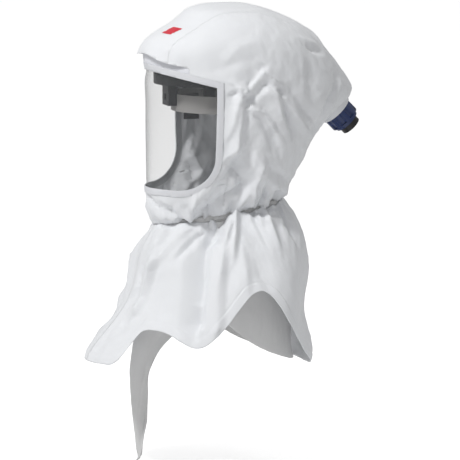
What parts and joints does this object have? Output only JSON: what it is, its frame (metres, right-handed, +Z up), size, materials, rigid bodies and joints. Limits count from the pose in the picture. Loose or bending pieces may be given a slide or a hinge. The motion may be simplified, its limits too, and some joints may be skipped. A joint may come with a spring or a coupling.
{
  "type": "powered air respirator hood",
  "caption": "White fabric respirator hood with a clear visor, split shoulder shrouds, an adjustable head harness, a crown air duct and a rear breathing-tube inlet.",
  "frame": {"origin": "centre of the headband, level with the brow, where the wearer's head sits", "axes": "wearer faces -Y, +X towards the wearer's left, +Z up"},
  "size_m": [0.3004, 0.4, 0.6411],
  "materials": {
    "white_fabric": "laminated non-woven, soft matt white",
    "clear_film": "clear bent visor film",
    "binding_tape": "woven tape, pale grey",
    "elastic": "knitted elastic",
    "liner_fabric": "laminated non-woven, inner shroud",
    "black_plastic": "moulded, fine grain",
    "grey_plastic": "moulded harness parts",
    "blue_plastic": "moulded, satin dark blue",
    "pale_plastic": "moulded headband, pale grey",
    "white_plastic": "moulded ring welded to the fabric",
    "duct_plastic": "thin flexible moulding",
    "foam": "covered foam pad",
    "strap": "thin moulded strap",
    "steel": "zinc-plated screws",
    "rubber": "seal ring",
    "red_print": "plain printed mark"
  },
  "bodies": {
    "hood": {"hood_chin": "white_fabric", "hood_crown": "white_fabric", "hood_side_left": "white_fabric", "hood_side_right": "white_fabric", "visor": "clear_film", "visor_binding": "binding_tape", "neck_elastic": "elastic", "shroud_left": "white_fabric", "shroud_right": "white_fabric", "inner_shroud": "liner_fabric", "headband_front": "pale_plastic", "ratchet_housing": "black_plastic", "ratchet_cover": "grey_plastic", "cover_screws": "steel", "brow_pad": "foam", "nape_pad": "foam", "crown_strap_cross": "strap", "crown_strap_long": "strap", "strap_studs": "black_plastic", "brow_manifold": "black_plastic", "air_duct_front": "duct_plastic", "air_duct_top": "duct_plastic", "air_duct_rear": "duct_plastic", "inlet_elbow": "duct_plastic", "inlet_spigot": "black_plastic", "spigot_seal": "rubber", "inlet_grommet": "white_plastic", "temple_bracket_left": "grey_plastic", "temple_bracket_right": "grey_plastic", "front_bridge": "black_plastic", "rear_bridge": "black_plastic", "brow_patch": "red_print"},
    "ratchet": {"ratchet_pinion": "white_plastic", "ratchet_knob": "black_plastic"},
    "tail_left": {"headband_tail_left": "strap"},
    "tail_right": {"headband_tail_right": "strap"},
    "tube_lock": {"lock_ring": "blue_plastic"},
    "shutter_left": {"air_shutter_left": "black_plastic"},
    "shutter_right": {"air_shutter_right": "black_plastic"}
  },
  "joints": [
    {"name": "knob_turn", "type": "hinge", "parent": "hood", "child": "ratchet", "pos_m": [0, 0.1, 0], "axis": [0, -1, 0], "range_deg": [-114, 137]},
    {"name": "tail_slide_left", "type": "hinge", "parent": "hood", "child": "tail_left", "pos_m": [0, 0.018, 0], "axis": [0, 0, 1], "range_deg": [-7.21, 8.65]},
    {"name": "tail_slide_right", "type": "hinge", "parent": "hood", "child": "tail_right", "pos_m": [0, 0.018, 0], "axis": [0, 0, 1], "range_deg": [-8.41, 7]},
    {"name": "lock_turn", "type": "hinge", "parent": "hood", "child": "tube_lock", "pos_m": [0, 0.14, -0.018], "axis": [0, 0.7071, -0.7071], "range_deg": [0, 60]},
    {"name": "shutter_slide_left", "type": "slide", "parent": "hood", "child": "shutter_left", "axis": [0, 0, 1], "range_m": [0, 0.008]},
    {"name": "shutter_slide_right", "type": "slide", "parent": "hood", "child": "shutter_right", "axis": [0, 0, 1], "range_m": [0, 0.008]}
  ],
  "couplings": [
    {"joint": "tail_slide_left", "follows": "knob_turn", "ratio": 0.062972},
    {"joint": "tail_slide_right", "follows": "knob_turn", "ratio": -0.0612}
  ]
}
